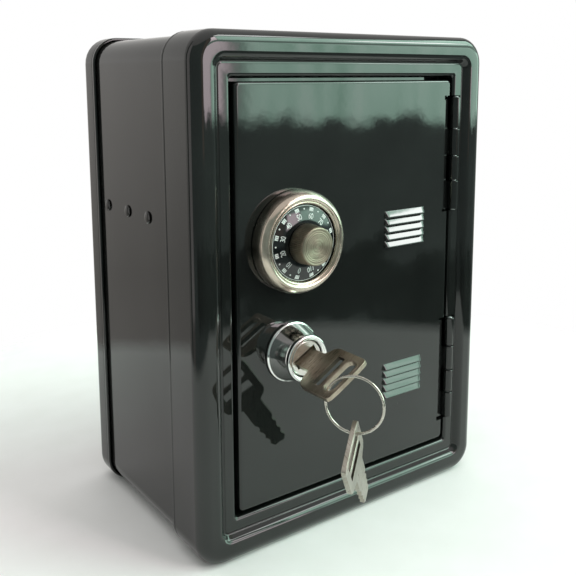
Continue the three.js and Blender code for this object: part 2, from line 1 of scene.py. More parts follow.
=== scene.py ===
"""Toy safe coin bank in black enamel: the detailed visual model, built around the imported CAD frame.

Lengths are millimetres in the case's own frame: X to the right, Y towards the back, Z up, with the
case centred on X and Y and standing on Z = 0. place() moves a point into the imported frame, in metres.
"""

import json
import math

import bmesh
import bpy
from mathutils import Matrix, Vector


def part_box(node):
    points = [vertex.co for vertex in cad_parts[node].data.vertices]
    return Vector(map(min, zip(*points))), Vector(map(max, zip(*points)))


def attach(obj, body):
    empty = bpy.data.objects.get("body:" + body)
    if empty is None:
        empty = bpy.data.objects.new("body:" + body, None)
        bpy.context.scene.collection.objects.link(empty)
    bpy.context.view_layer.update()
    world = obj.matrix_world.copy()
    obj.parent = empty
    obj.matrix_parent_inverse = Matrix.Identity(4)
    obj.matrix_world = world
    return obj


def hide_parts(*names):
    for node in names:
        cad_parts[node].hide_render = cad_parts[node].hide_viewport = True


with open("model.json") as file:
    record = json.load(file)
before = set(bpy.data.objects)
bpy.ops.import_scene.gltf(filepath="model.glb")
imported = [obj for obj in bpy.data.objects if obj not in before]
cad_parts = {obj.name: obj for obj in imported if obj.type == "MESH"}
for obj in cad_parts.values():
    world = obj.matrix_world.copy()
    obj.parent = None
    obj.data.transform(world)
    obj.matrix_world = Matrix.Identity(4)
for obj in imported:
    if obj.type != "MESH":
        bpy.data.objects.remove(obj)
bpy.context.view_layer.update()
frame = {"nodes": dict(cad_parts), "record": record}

# ---------------------------------------------------------------- driving dimensions
MM = 0.001
SHEET = 1.0  # thickness of the sheet steel

CASE_W = 132.0
CASE_D = 88.0
CASE_H = 180.0
CASE_R = 10.0
FRONT_Y = -CASE_D / 2
BACK_Y = CASE_D / 2
PROUD = 1.3  # how far the front frame and back cover stand out from the body

FRAME_DEPTH = 20.5
FRAME_EDGE = 4.5
STEP_INSET = 7.5
STEP_WIDTH = 3.0
STEP_DEPTH = 2.2
OPENING_INSET = 15.0
STOP_WIDTH = 4.0

BACK_DEPTH = 12.0
BACK_EDGE = 5.0
BODY_Y = (-38.0, 40.0)

DOOR_GAP = 1.4
DOOR_Y = FRONT_Y + 2.0
DOOR_DEPTH = 8.0
DOOR_EDGE = 1.2

COIN_SLOT = {"length": 40.0, "front": 26.4}
RIVET_Z = 116.8
RIVET_YS = (-8.6, 8.0, 25.7)

LOUVRE = {"x": 25.8, "length": 20.2, "pitch": 2.85, "count": 5, "radius": 1.25, "slot": 0.75}
LOUVRE_ZS = (108.2, 48.4)

HINGE = {"x": 52.6, "y": -41.7, "radius": 2.0, "pin": 1.0, "bore": 1.28, "leaf": 0.8}
HINGE_NOTCH_X = 46.2
HINGE_CLEAR = 0.6
HINGES = {
    "upper": (157.0, 144.7, 134.0, 124.2, 112.6),
    "lower": (67.6, 55.75, 45.5, 35.9, 25.0),
}

DIAL = {"x": -25.95, "z": 109.4, "radius": 17.9, "plate": 13.2, "knob": 7.0, "spindle": 2.4}
DIAL_PLATE_Y = -47.8
DIAL_KNOB_Y = -55.0
DIAL_STEP = 30.0  # degrees from one numeral to the next
KNURLS = 64

LOCK = {"x": -27.7, "z": 70.15, "base": 10.7, "face": 8.1, "barrel": 8.0, "plug": 6.2}
LOCK_FACE_Y = -52.05
LOCK_REAR_Y = -32.3

KEY_ANGLE = math.radians(30)
KEY = {"thickness": 1.6, "bow": 18.8, "shift": -1.1, "bow_length": 17.0, "blade": 8.4, "length": 36.0}
KEY_SLOT = {"bar": 1.8, "width": 4.2, "half": 6.6}
KEY_END_Y = -74.3
RING = {"radius": 9.5, "wire": 0.5, "yaw": math.radians(54.6), "drop": 7.3, "along": -0.7, "forward": 1.07}
SPARE_TILT = math.radians(36)

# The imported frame's origin is under the middle of the whole object, keys included.
CASE_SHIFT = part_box("front_frame")[0][1] / MM - FRONT_Y


def place(x, y, z):
    return Vector((x, y + CASE_SHIFT, z)) * MM


# ---------------------------------------------------------------- camera
def add_camera():
    azimuth = math.radians(35.7192)
    pitch = math.radians(8.8695)
    roll = math.radians(-0.2065)
    forward = Vector((
        math.sin(azimuth) * math.cos(pitch),
        math.cos(azimuth) * math.cos(pitch),
        -math.sin(pitch),
    ))
    level = forward.cross(Vector((0, 0, 1))).normalized()
    above = level.cross(forward)
    right = level * math.cos(roll) + above * math.sin(roll)
    up = right.cross(forward)
    camera = bpy.data.objects.new("camera", bpy.data.cameras.new("camera"))
    bpy.context.collection.objects.link(camera)
    turn = Matrix((right, up, -forward)).transposed()
    camera.matrix_world = Matrix.Translation(place(-182.492, -255.732, 164.849)) @ turn.to_4x4()
    camera.data.lens = 49.165
    camera.data.shift_y = -0.1528
    camera.data.clip_start = 0.01
    bpy.context.scene.camera = camera


# ---------------------------------------------------------------- node helpers
def new_material(name):
    material = bpy.data.materials.new(name)
    material.use_nodes = True
    nodes = material.node_tree.nodes
    return material, nodes, material.node_tree.links, nodes["Principled BSDF"]


def object_coords(nodes):
    return nodes.new("ShaderNodeTexCoord").outputs["Object"]


def noise(nodes, links, vector, scale, detail=2.0, roughness=0.5):
    node = nodes.new("ShaderNodeTexNoise")
    node.inputs["Scale"].default_value = scale
    node.inputs["Detail"].default_value = detail
    node.inputs["Roughness"].default_value = roughness
    links.new(vector, node.inputs["Vector"])
    return node.outputs["Fac"]


def stretched(nodes, links, vector, scale, rotation=(0, 0, 0), location=(0, 0, 0)):
    node = nodes.new("ShaderNodeMapping")
    node.inputs["Scale"].default_value = scale
    node.inputs["Rotation"].default_value = rotation
    node.inputs["Location"].default_value = location
    links.new(vector, node.inputs["Vector"])
    return node.outputs["Vector"]


def ramp(nodes, links, value, stops):
    node = nodes.new("ShaderNodeValToRGB")
    elements = node.color_ramp.elements
    while len(elements) < len(stops):
        elements.new(0.5)
    for element, (position, colour) in zip(elements, stops):
        element.position = position
        element.color = (*colour, 1) if len(colour) == 3 else colour
    links.new(value, node.inputs["Fac"])
    return node.outputs["Color"]


def remap(nodes, links, value, low, high, to_low, to_high):
    node = nodes.new("ShaderNodeMapRange")
    for key, number in zip(("From Min", "From Max", "To Min", "To Max"), (low, high, to_low, to_high)):
        node.inputs[key].default_value = number
    links.new(value, node.inputs["Value"])
    return node.outputs["Result"]


def math_node(nodes, links, operation, a, b=None):
    node = nodes.new("ShaderNodeMath")
    node.operation = operation
    for socket, value in zip(node.inputs, (a, b)):
        if value is None:
            continue
        if isinstance(value, (int, float)):
            socket.default_value = value
        else:
            links.new(value, socket)
    return node.outputs["Value"]


def bump(nodes, links, height, distance, strength=1.0, normal=None):
    node = nodes.new("ShaderNodeBump")
    node.inputs["Distance"].default_value = distance
    node.inputs["Strength"].default_value = strength
    links.new(height, node.inputs["Height"])
    if normal is not None:
        links.new(normal, node.inputs["Normal"])
    return node.outputs["Normal"]


def radius_about(nodes, links, x, z):
    """Distance in metres from the axis along Y through (x, z), for turned metal."""
    centre = place(x, 0, z)
    split = nodes.new("ShaderNodeSeparateXYZ")
    links.new(object_coords(nodes), split.inputs["Vector"])
    dx = math_node(nodes, links, "SUBTRACT", split.outputs["X"], centre.x)
    dz = math_node(nodes, links, "SUBTRACT", split.outputs["Z"], centre.z)
    square = math_node(
        nodes, links, "ADD",
        math_node(nodes, links, "MULTIPLY", dx, dx),
        math_node(nodes, links, "MULTIPLY", dz, dz),
    )
    return math_node(nodes, links, "SQRT", square)


# ---------------------------------------------------------------- materials
def enamel(name, tint, roughness, peel, waviness):
    """Stoved black enamel: a clear gloss with a faint orange peel, slow waves of the sheet and dust."""
    material, nodes, links, shader = new_material(name)
    coords = object_coords(nodes)
    cloud = noise(nodes, links, coords, 45, 4)
    base = ramp(nodes, links, cloud, [
        (0.35, [c * 0.75 for c in tint]),
        (0.7, [c * 1.25 for c in tint]),
    ])
    dust = noise(nodes, links, coords, 2600, 1)
    specks = ramp(nodes, links, dust, [(0.74, (0, 0, 0)), (0.8, (1, 1, 1))])
    mix = nodes.new("ShaderNodeMix")
    mix.data_type = "RGBA"
    links.new(math_node(nodes, links, "MULTIPLY", specks, 0.5), mix.inputs["Factor"])
    links.new(base, mix.inputs[6])
    mix.inputs[7].default_value = (0.06, 0.06, 0.055, 1)
    links.new(mix.outputs[2], shader.inputs["Base Color"])
    smears = noise(nodes, links, stretched(nodes, links, coords, (1, 1, 0.35)), 70, 4, 0.6)
    links.new(remap(nodes, links, smears, 0.35, 0.75, roughness, roughness * 2.2), shader.inputs["Roughness"])
    slow = bump(nodes, links, noise(nodes, links, coords, 38, 1), 0.002, waviness)
    fine = bump(nodes, links, noise(nodes, links, coords, 420, 1), 0.0004, peel, slow)
    links.new(fine, shader.inputs["Normal"])
    shader.inputs["IOR"].default_value = 1.52
    return material


def turned_metal(name, x, z, dark, light, roughness, lines=0.1, pitch=5200):
    """Plated metal turned about an axis along Y, with fine circular tool marks."""
    material, nodes, links, shader = new_material(name)
    radius = radius_about(nodes, links, x, z)
    rings = nodes.new("ShaderNodeTexNoise")
    rings.noise_dimensions = "1D"
    rings.inputs["Scale"].default_value = pitch
    rings.inputs["Detail"].default_value = 3
    links.new(radius, rings.inputs["W"])
    stain = noise(nodes, links, object_coords(nodes), 160, 3)
    both = math_node(
        nodes, links, "ADD",
        math_node(nodes, links, "MULTIPLY", rings.outputs["Fac"], 0.5),
        math_node(nodes, links, "MULTIPLY", stain, 0.5),
    )
    links.new(ramp(nodes, links, both, [(0.36, dark), (0.62, light)]), shader.inputs["Base Color"])
    links.new(remap(nodes, links, stain, 0.3, 0.7, roughness * 0.8, roughness * 1.3), shader.inputs["Roughness"])
    links.new(bump(nodes, links, rings.outputs["Fac"], 0.0003, lines), shader.inputs["Normal"])
    shader.inputs["Metallic"].default_value = 1
    return material


def brushed_metal(name, dark, light, roughness, stretch, turn=(0, 0, 0), grain=0.15):
    """Plated sheet or bar with rolling lines along one direction and cloudy tarnish."""
    material, nodes, links, shader = new_material(name)
    coords = object_coords(nodes)
    lines = noise(nodes, links, stretched(nodes, links, coords, stretch, turn), 260, 3, 0.6)
    stain = noise(nodes, links, coords, 130, 4)
    both = math_node(
        nodes, links, "ADD",
        math_node(nodes, links, "MULTIPLY", lines, 0.45),
        math_node(nodes, links, "MULTIPLY", stain, 0.55),
    )
    links.new(ramp(nodes, links, both, [(0.36, dark), (0.64, light)]), shader.inputs["Base Color"])
    links.new(remap(nodes, links, lines, 0.3, 0.7, roughness * 0.75, roughness * 1.3), shader.inputs["Roughness"])
    links.new(bump(nodes, links, lines, 0.0002, grain), shader.inputs["Normal"])
    shader.inputs["Metallic"].default_value = 1
    return material


def paint_mark(name, colour):
    """Printed marks: slightly uneven, matt."""
    material, nodes, links, shader = new_material(name)
    wear = noise(nodes, links, object_coords(nodes), 900, 3)
    links.new(ramp(nodes, links, wear, [
        (0.3, [c * 0.7 for c in colour]),
        (0.6, colour),
    ]), shader.inputs["Base Color"])
    links.new(remap(nodes, links, wear, 0.3, 0.7, 0.35, 0.6), shader.inputs["Roughness"])
    return material


def shaded_floor(name):
    """Pale floor that fades out at its edge into the pale surroundings."""
    material, nodes, links, shader = new_material(name)
    coords = object_coords(nodes)
    grain = noise(nodes, links, coords, 55, 4)
    links.new(ramp(nodes, links, grain, [
        (0.3, (0.84, 0.84, 0.83)),
        (0.7, (0.87, 0.87, 0.865)),
    ]), shader.inputs["Base Color"])
    shader.inputs["Roughness"].default_value = 0.75
    length = nodes.new("ShaderNodeVectorMath")
    length.operation = "LENGTH"
    links.new(coords, length.inputs[0])
    fade = remap(nodes, links, length.outputs["Value"], FLOOR_SOLID, FLOOR_RADIUS, 1, 0)
    links.new(fade, shader.inputs["Alpha"])
    return material


# ---------------------------------------------------------------- mesh helpers
def bake_modifiers(piece):
    """Replaces a piece's mesh with the result of its modifiers."""
    depsgraph = bpy.context.evaluated_depsgraph_get()
    result = bpy.data.meshes.new_from_object(piece.evaluated_get(depsgraph))
    piece.modifiers.clear()
    old = piece.data
    piece.data = result
    bpy.data.meshes.remove(old)


def settle_normals(piece):
    """Weights the shading by face area, so that flats look flat right up to their rounded edges."""
    weighted = piece.modifiers.new("weighted", "WEIGHTED_NORMAL")
    weighted.keep_sharp = True
    weighted.weight = 80
    bake_modifiers(piece)


def add_piece(name, bm, material, body, nodes=(), sharp=38.0):
    """Turns a bmesh into a shaded object that rides on a CAD body and stands for the named CAD nodes."""
    bmesh.ops.remove_doubles(bm, verts=bm.verts, dist=1e-7)
    bmesh.ops.recalc_face_normals(bm, faces=bm.faces)
    limit = math.radians(sharp)
    for face in bm.faces:
        face.smooth = True
    for edge in bm.edges:
        edge.smooth = len(edge.link_faces) == 2 and edge.calc_face_angle(0) < limit
    mesh = bpy.data.meshes.new(name)
    bm.to_mesh(mesh)
    bm.free()
    piece = bpy.data.objects.new(name, mesh)
    bpy.context.collection.objects.link(piece)
    mesh.materials.append(material)
    settle_normals(piece)
    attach(piece, body)
    if nodes:
        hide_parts(*nodes)
    return piece


def rounded_outline(x0, x1, z0, z1, r, steps=8):
    """Points of a rectangle with round corners, anticlockwise in X and Z."""
    points = []
    corners = ((x1 - r, z0 + r, -90), (x1 - r, z1 - r, 0), (x0 + r, z1 - r, 90), (x0 + r, z0 + r, 180))
    for cx, cz, start in corners:
        for i in range(steps + 1):
            angle = math.radians(start + 90 * i / steps)
            points.append((cx + r * math.cos(angle), cz + r * math.sin(angle)))
    return points


def case_outline(inset, r, steps=8):
    return rounded_outline(-CASE_W / 2 + inset, CASE_W / 2 - inset, inset, CASE_H - inset, r, steps)


def add_ring(bm, outline, y):
    return [bm.verts.new(place(x, y, z)) for x, z in outline]


def bridge(bm, first, second):
    count = len(first)
    for i in range(count):
        j = (i + 1) % count
        bm.faces.new((first[i], first[j], second[j], second[i]))


def loft(bm, sections, closed=False, cap_first=False, cap_last=False):
    """Skins a run of (outline, y) sections that all have the same number of points."""
    rings = [add_ring(bm, outline, y) for outline, y in sections]
    for first, second in zip(rings, rings[1:]):
        bridge(bm, first, second)
    if closed:
        bridge(bm, rings[-1], rings[0])
    if cap_first:
        bm.faces.new(rings[0])
    if cap_last:
        bm.faces.new(rings[-1])
    return rings


def arc(centre, radius, start, end, steps):
    """Points on an arc, in degrees, as (first, second) pairs."""
    points = []
    for i in range(steps + 1):
        angle = math.radians(start + (end - start) * i / steps)
        points.append((centre[0] + radius * math.cos(angle), centre[1] + radius * math.sin(angle)))
    return points


def turned(bm, profile, x, z, segments=96, wobble=None):
    """Closed profile of (radius, y) pairs swept about the axis along Y through (x, z)."""
    rings = []
    for i in range(segments):
        angle = 2 * math.pi * i / segments
        ring = []
        for j, (radius, y) in enumerate(profile):
            r = radius + (wobble(j, i) if wobble else 0)
            ring.append(bm.verts.new(place(x + r * math.cos(angle), y, z + r * math.sin(angle))))
        rings.append(ring)
    for i in range(segments):
        bridge(bm, rings[i], rings[(i + 1) % segments])
    bmesh.ops.remove_doubles(bm, verts=bm.verts, dist=1e-7)


def upright(bm, profile, x, y, segments=32):
    """Closed profile of (radius, z) pairs swept about the vertical axis through (x, y)."""
    rings = []
    for i in range(segments):
        angle = 2 * math.pi * i / segments
        rings.append([
            bm.verts.new(place(x + radius * math.cos(angle), y + radius * math.sin(angle), z))
            for radius, z in profile
        ])
    for i in range(segments):
        bridge(bm, rings[i], rings[(i + 1) % segments])
    bmesh.ops.remove_doubles(bm, verts=bm.verts, dist=1e-7)


def block(bm, x, y, z, edge=0.0):
    """A box from its (low, high) pairs, with its edges eased."""
    made = bmesh.ops.create_cube(bm, size=1)["verts"]
    for vert in made:
        vert.co = place(*(low if side < 0 else high for side, (low, high) in zip(vert.co, (x, y, z))))
    if edge:
        edges = list({e for v in made for e in v.link_edges})
        bmesh.ops.bevel(bm, geom=edges, offset=edge * MM, segments=2, profile=0.5, affect="EDGES")


def carve(piece, cutter_bm):
    """Cuts the shape of a bmesh out of a piece."""
    mesh = bpy.data.meshes.new("cutter")
    cutter_bm.to_mesh(mesh)
    cutter_bm.free()
    cutter = bpy.data.objects.new("cutter", mesh)
    bpy.context.collection.objects.link(cutter)
    modifier = piece.modifiers.new("cut", "BOOLEAN")
    modifier.object = cutter
    modifier.solver = "EXACT"
    modifier.use_self = True
    bake_modifiers(piece)
    settle_normals(piece)
    bpy.data.objects.remove(cutter)
    bpy.data.meshes.remove(mesh)


# ---------------------------------------------------------------- case
def step_profile():
    """The pressed step as (inset, depth): a soft shoulder, a slope, a narrow groove and the ledge's edge."""
    slope = 55
    shoulder = 2.6
    groove = 0.6
    rise = 30
    points = []

    def bend(radius, start, end, steps):
        inset, depth = points[-1] if points else (STEP_INSET - 0.7, 0.0)
        sense = 1 if end > start else -1
        for i in range(1 if points else 0, steps + 1):
            angle = math.radians(start + (end - start) * i / steps)
            first = math.radians(start)
            points.append((
                inset + sense * radius * (math.sin(angle) - math.sin(first)),
                depth - sense * radius * (math.cos(angle) - math.cos(first)),
            ))

    bend(shoulder, 0, slope, 6)
    inset, depth = points[-1]
    bottom = STEP_DEPTH - 0.02
    points.append((inset + (bottom - depth) / math.tan(math.radians(slope)), bottom))
    bend(groove, slope, -rise, 8)
    bend(0.4, -rise, 0, 4)
    inset, depth = points[-1]
    points.append((inset + 0.05, STEP_DEPTH))
    return points


def step_sections(grow=0.0):
    sections = []
    for inset, depth in step_profile():
        radius = max(0.8, STEP_INSET + STEP_WIDTH + 1.7 - inset)
        sections.append((case_outline(inset - grow, radius + grow), FRONT_Y + depth + grow))
    return sections


def tray_sections(edge, inner=0.0):
    """Rounded front edge of the pressed frame, from the side round to the front."""
    sections = []
    for inset, y in arc((edge, FRONT_Y + edge), edge - inner, 180, 270, 12):
        sections.append((case_outline(inset, CASE_R - inset), y))
    return sections


def opening(inset, y, radius=1.2):
    return case_outline(inset, radius), y


def rear_lip(rear, sense):
    """Cut edge of a tray from the inside round to the outside, with a fine rolled line behind it."""
    lip = 0.45
    inner = SHEET
    profile = [(inner, 5.0), (inner, 0.2), (inner - 0.2, 0.0), (lip, 0.0), (lip * 0.5, lip * 0.13)]
    profile += [(lip * 0.13, lip * 0.5), (0.0, lip), (0.0, 1.2), (0.16, 1.45), (0.16, 1.65), (0.0, 1.9)]
    return [(case_outline(inset, CASE_R - inset), rear - sense * depth) for inset, depth in profile]


def front_frame():
    rear = FRONT_Y + FRAME_DEPTH
    curl = 1.3
    ledge_y = FRONT_Y + STEP_DEPTH
    sections = [
        *rear_lip(rear, 1),
        *tray_sections(FRAME_EDGE),
        *step_sections(),
    ]
    for inset, y in arc((OPENING_INSET - curl, ledge_y + curl), curl, -90, 0, 8):
        sections.append(opening(inset, y))
    stop_y = DOOR_Y + DOOR_DEPTH + 0.6
    sections += [
        opening(OPENING_INSET, stop_y - 0.4),
        opening(OPENING_INSET + 0.4, stop_y),
        opening(OPENING_INSET + STOP_WIDTH - 0.3, stop_y),
        opening(OPENING_INSET + STOP_WIDTH, stop_y + 0.3),
        opening(OPENING_INSET + STOP_WIDTH, stop_y + SHEET),
        opening(OPENING_INSET - SHEET, stop_y + SHEET),
        opening(OPENING_INSET - SHEET, ledge_y + SHEET),
        *reversed(step_sections(SHEET)),
        *reversed(tray_sections(FRAME_EDGE, SHEET)),
    ]
    bm = bmesh.new()
    loft(bm, sections, closed=True)
    piece = add_piece("frame_shell", bm, ENAMEL, "case", ["front_frame"])
    notch = bmesh.new()
    for top, *_, bottom in HINGES.values():
        block(
            notch,
            (CASE_W / 2 - OPENING_INSET - HINGE_CLEAR, HINGE["x"] + HINGE["radius"] + 0.5),
            (FRONT_Y - 1, HINGE["y"] + HINGE["radius"] + 1.2),
            (bottom - HINGE_CLEAR, top + HINGE_CLEAR),
        )
    carve(piece, notch)


def back_cover():
    front = BACK_Y - BACK_DEPTH
    edge = [
        (case_outline(i, CASE_R - i), y)
        for i, y in arc((BACK_EDGE, BACK_Y - BACK_EDGE), BACK_EDGE, 180, 90, 12)
    ]
    bead = STEP_INSET + 4  # a shallow pressed panel stiffens the back
    dish = 0.8
    rear = [
        (case_outline(bead, 5), BACK_Y),
        (case_outline(bead + 0.8, 4.6), BACK_Y - 0.15 * dish),
        (case_outline(bead + 1.8, 4.0), BACK_Y - 0.85 * dish),
        (case_outline(bead + 2.6, 3.6), BACK_Y - dish),
    ]
    bm = bmesh.new()
    rings = loft(bm, rear_lip(front, -1) + edge + rear, cap_last=True)
    inside = [
        *[
            (case_outline(i, CASE_R - i), y)
            for i, y in arc((BACK_EDGE, BACK_Y - BACK_EDGE), BACK_EDGE - SHEET, 180, 90, 8)
        ],
        (case_outline(bead, 5), BACK_Y - SHEET),
        (case_outline(bead + 2.6, 3.6), BACK_Y - SHEET - dish),
    ]
    inner_rings = loft(bm, inside, cap_last=True)
    bridge(bm, rings[0], inner_rings[0])
    add_piece("back_pan", bm, ENAMEL, "case", ["back_cover"])


def body_shell():
    front, rear = BODY_Y
    outer = case_outline(PROUD, CASE_R - PROUD)
    inner = case_outline(PROUD + SHEET, CASE_R - PROUD - SHEET)
    bm = bmesh.new()
    loft(bm, [(outer, front), (outer, rear), (inner, rear), (inner, front)], closed=True)
    piece = add_piece("case_body", bm, ENAMEL_SIDE, "case", ["body_shell"])
    slot = bmesh.new()
    half = COIN_SLOT["length"] / 2
    block(slot, (-half, half), (COIN_SLOT["front"], rear + 2), (CASE_H - 10, CASE_H + 2), 0.6)
    for y in RIVET_YS:
        bmesh.ops.create_cone(
            slot, cap_ends=True, segments=24, radius1=1.5 * MM, radius2=1.5 * MM, depth=(CASE_W + 10) * MM,
            matrix=Matrix.Translation(place(0, y, RIVET_Z)) @ Matrix.Rotation(math.pi / 2, 4, "Y"),
        )
    carve(piece, slot)


def rivets():
    """Domed rivet heads that hold the shelf, each in the dimple that its setting leaves."""
    wall = CASE_W / 2 - PROUD
    inside = wall - 2 * SHEET - 0.6
    profile = [(0, inside - 0.7), (1.5, inside - 0.6), (1.9, inside - 0.1), (1.9, inside), (1.15, inside)]
    profile += [(1.15, wall + 0.3), (2.2, wall + 0.3), (2.15, wall + 0.5), (1.7, wall + 0.8), (0.9, wall + 0.96)]
    profile += [(0, wall + 1)]
    for side_name, side in (("left", -1), ("right", 1)):
        for number, y in enumerate(RIVET_YS, 1):
            bm = bmesh.new()
            rings = []
            count = 24
            for i in range(count):
                angle = 2 * math.pi * i / count
                rings.append([
                    bm.verts.new(place(side * x, y + r * math.cos(angle), RIVET_Z + r * math.sin(angle)))
                    for r, x in profile
                ])
            for i in range(count):
                bridge(bm, rings[i], rings[(i + 1) % count])
            name = f"shelf_rivet_{side_name}_{number}"
            add_piece(f"rivet_{side_name}_{number}", bm, ENAMEL_SIDE, "case", [name])


# ---------------------------------------------------------------- door
def door_outline(inset, radius):
    return case_outline(OPENING_INSET + DOOR_GAP + inset, radius)


def louvre_hoods():
    """Pressed hoods: each leaves the door along its top edge, bulges out and ends in an open lip below."""
    bm = bmesh.new()
    half = LOUVRE["length"] / 2
    across = 28
    taper = 1.3
    profile = [(0.0, 1.3), (0.02, 1.22), (0.08, 1.13), (0.6, 0.27), (1.17, -0.68), (1.23, -0.82), (1.24, -0.95)]
    profile += [(1.2, -1.04), (1.1, -1.08), (1.0, -1.0), (0.92, -0.8), (0.4, 0.1), (-0.3, 0.9), (-0.3, 1.3)]
    for centre in LOUVRE_ZS:
        for row in range(LOUVRE["count"]):
            z = centre + (row - (LOUVRE["count"] - 1) / 2) * LOUVRE["pitch"]
            rings = []
            for i in range(across + 1):
                t = -math.cos(math.pi * i / across)
                x = LOUVRE["x"] + half * t
                end = min(1, (half - abs(half * t)) / taper)
                rise = math.sqrt(max(0, 1 - (1 - end) ** 2))
                rings.append([
                    bm.verts.new(place(x, DOOR_Y - out * (0.1 + 0.9 * rise if out > 0 else 1), z + up))
                    for out, up in profile
                ])
            for first, second in zip(rings, rings[1:]):
                bridge(bm, first, second)
            bm.faces.new(rings[0])
            bm.faces.new(rings[-1])
    add_piece("door_louvres", bm, ENAMEL, "door", sharp=50)


def door_panel():
    back = DOOR_Y + DOOR_DEPTH
    sections = []
    for inset, y in arc((DOOR_EDGE, DOOR_Y + DOOR_EDGE), DOOR_EDGE, 270, 180, 6):
        sections.append((door_outline(inset, 1.8 - inset * 0.9), y))
    sections += [
        (door_outline(0, 1.8), back - 0.3),
        (door_outline(0.3, 1.5), back),
        (door_outline(SHEET, 0.8), back),
        (door_outline(SHEET, 0.8), DOOR_Y + SHEET),
    ]
    bm = bmesh.new()
    loft(bm, sections, cap_first=True, cap_last=True)
    piece = add_piece("door_skin", bm, ENAMEL, "door", ["door_panel"])
    cutter = bmesh.new()
    for top, *_, bottom in HINGES.values():
        block(cutter, (HINGE_NOTCH_X, CASE_W / 2), (DOOR_Y - 1, back + 1), (bottom - HINGE_CLEAR, top + HINGE_CLEAR))
    half = LOUVRE["length"] / 2 - 0.7
    for centre in LOUVRE_ZS:
        for row in range(LOUVRE["count"]):
            z = centre + (row - (LOUVRE["count"] - 1) / 2) * LOUVRE["pitch"]
            block(
                cutter,
                (LOUVRE["x"] - half, LOUVRE["x"] + half),
                (DOOR_Y - 1, DOOR_Y + SHEET + 1),
                (z - 0.85, z + 0.7),
            )
    for x, z, radius in ((DIAL["x"], DIAL["z"], 3.2), (LOCK["x"], LOCK["z"], LOCK["barrel"] + 0.2)):
        turned(cutter, [(0, DOOR_Y - 1), (radius, DOOR_Y - 1), (radius, DOOR_Y + 3), (0, DOOR_Y + 3)], x, z, 48)
    bmesh.ops.recalc_face_normals(cutter, faces=cutter.faces)
    carve(piece, cutter)


# ---------------------------------------------------------------- hinges
def knuckle(bm, low, high):
    ease = 0.35
    outer = HINGE["radius"]
    bore = HINGE["bore"]
    profile = [(bore, low + 0.15), (bore + 0.15, low), (outer - ease, low)]
    profile += arc((outer - ease, low + ease), ease, -60, 0, 3)
    profile += arc((outer - ease, high - ease), ease, 0, 60, 3)
    profile += [(outer - ease, high), (bore + 0.15, high), (bore, high - 0.15)]
    upright(bm, profile, HINGE["x"], HINGE["y"])


def hinges():
    slack = 0.15
    leaf_y = (HINGE["y"] + HINGE["radius"] - HINGE["leaf"], HINGE["y"] + HINGE["radius"])
    clear = HINGE["radius"] + 0.9
    for name, (top, first, second, third, bottom) in HINGES.items():
        frame_side = bmesh.new()
        door_side = bmesh.new()
        for low, high in ((first + slack, top), (third + slack, second - slack)):
            knuckle(frame_side, low, high)
            block(frame_side, (HINGE["x"] + 0.8, HINGE["x"] + clear + 0.3), leaf_y, (low + 0.2, high - 0.2), 0.1)
        for low, high in ((second + slack, first - slack), (bottom, third - slack)):
            knuckle(door_side, low, high)
            block(door_side, (HINGE["x"] - clear - 0.3, HINGE["x"] - 0.8), leaf_y, (low + 0.2, high - 0.2), 0.1)
        block(frame_side, (HINGE["x"] + clear, HINGE["x"] + 10), leaf_y, (bottom + 1, top), 0.2)
        block(door_side, (HINGE["x"] - 18, HINGE["x"] - clear), leaf_y, (bottom, top - 1), 0.2)
        add_piece(f"hinge_{name}_fixed", frame_side, ENAMEL, "case", [f"hinge_{name}_frame_leaf"])
        add_piece(f"hinge_{name}_moving", door_side, ENAMEL, "door", [f"hinge_{name}_door_leaf"])
        pin = bmesh.new()
        radius = HINGE["pin"]
        profile = [(0, bottom - 0.3), (radius, bottom - 0.3), (radius, top - 0.2)]
        profile += [(1.25, top - 0.1), (1.2, top + 0.1), (0.7, top + 0.28), (0, top + 0.3)]
        upright(pin, profile, HINGE["x"], HINGE["y"], 24)
        add_piece(f"hinge_{name}_rod", pin, ZINC, "case", [f"hinge_{name}_pin"])


# ---------------------------------------------------------------- dial
def dial_bezel():
    foot = DOOR_Y - 0.3
    rim = DIAL["radius"]
    lip = DIAL["plate"] + 0.3
    profile = [(3.2, foot), (rim - 0.3, foot), (rim, foot - 0.3), (rim, foot - 2.4), (rim - 0.12, foot - 3.4)]
    profile += [(rim - 0.45, foot - 4.5), (rim - 0.95, foot - 5.4), (rim - 1.6, foot - 6.1), (rim - 2.3, foot - 6.45)]
    profile += [(rim - 2.9, foot - 6.4), (rim - 3.3, foot - 6.15), (rim - 3.45, foot - 5.85)]
    profile += [(rim - 3.6, foot - 5.75), (rim - 3.8, foot - 5.9), (rim - 4.0, foot - 5.85)]
    profile += [(lip + 0.05, foot - 5.5), (lip, foot - 5.2), (lip, foot - 1.5), (3.2, foot - 1.5)]
    bm = bmesh.new()
    turned(bm, profile, DIAL["x"], DIAL["z"], 128)
    add_piece("dial_bezel", bm, BEZEL, "door", ["dial_ring"], sharp=60)


def plate_surface(radius):
    """Depth of the numbered plate's face: flat inside, falling away towards its edge."""
    slope = max(0.0, radius - 7.6)
    return DIAL_PLATE_Y - 0.25 + 0.11 * slope + 0.014 * slope * slope


def dial_plate():
    bore = DIAL["spindle"] + 0.3
    face = [7.6, 8.5, 9.4, 10.3, 11.2, 12.1, 12.8, DIAL["plate"]]
    profile = [(bore, plate_surface(0)), *[(r, plate_surface(r)) for r in face]]
    profile += [(DIAL["plate"], DIAL_PLATE_Y + 1.2), (4.5, DIAL_PLATE_Y + 1.2)]
    profile += [(4.5, DIAL_PLATE_Y + 3.5), (bore, DIAL_PLATE_Y + 3.5)]
    bm = bmesh.new()
    turned(bm, profile, DIAL["x"], DIAL["z"], 96)
    add_piece("dial_face", bm, DIAL_BLACK, "dial", ["dial_plate"])


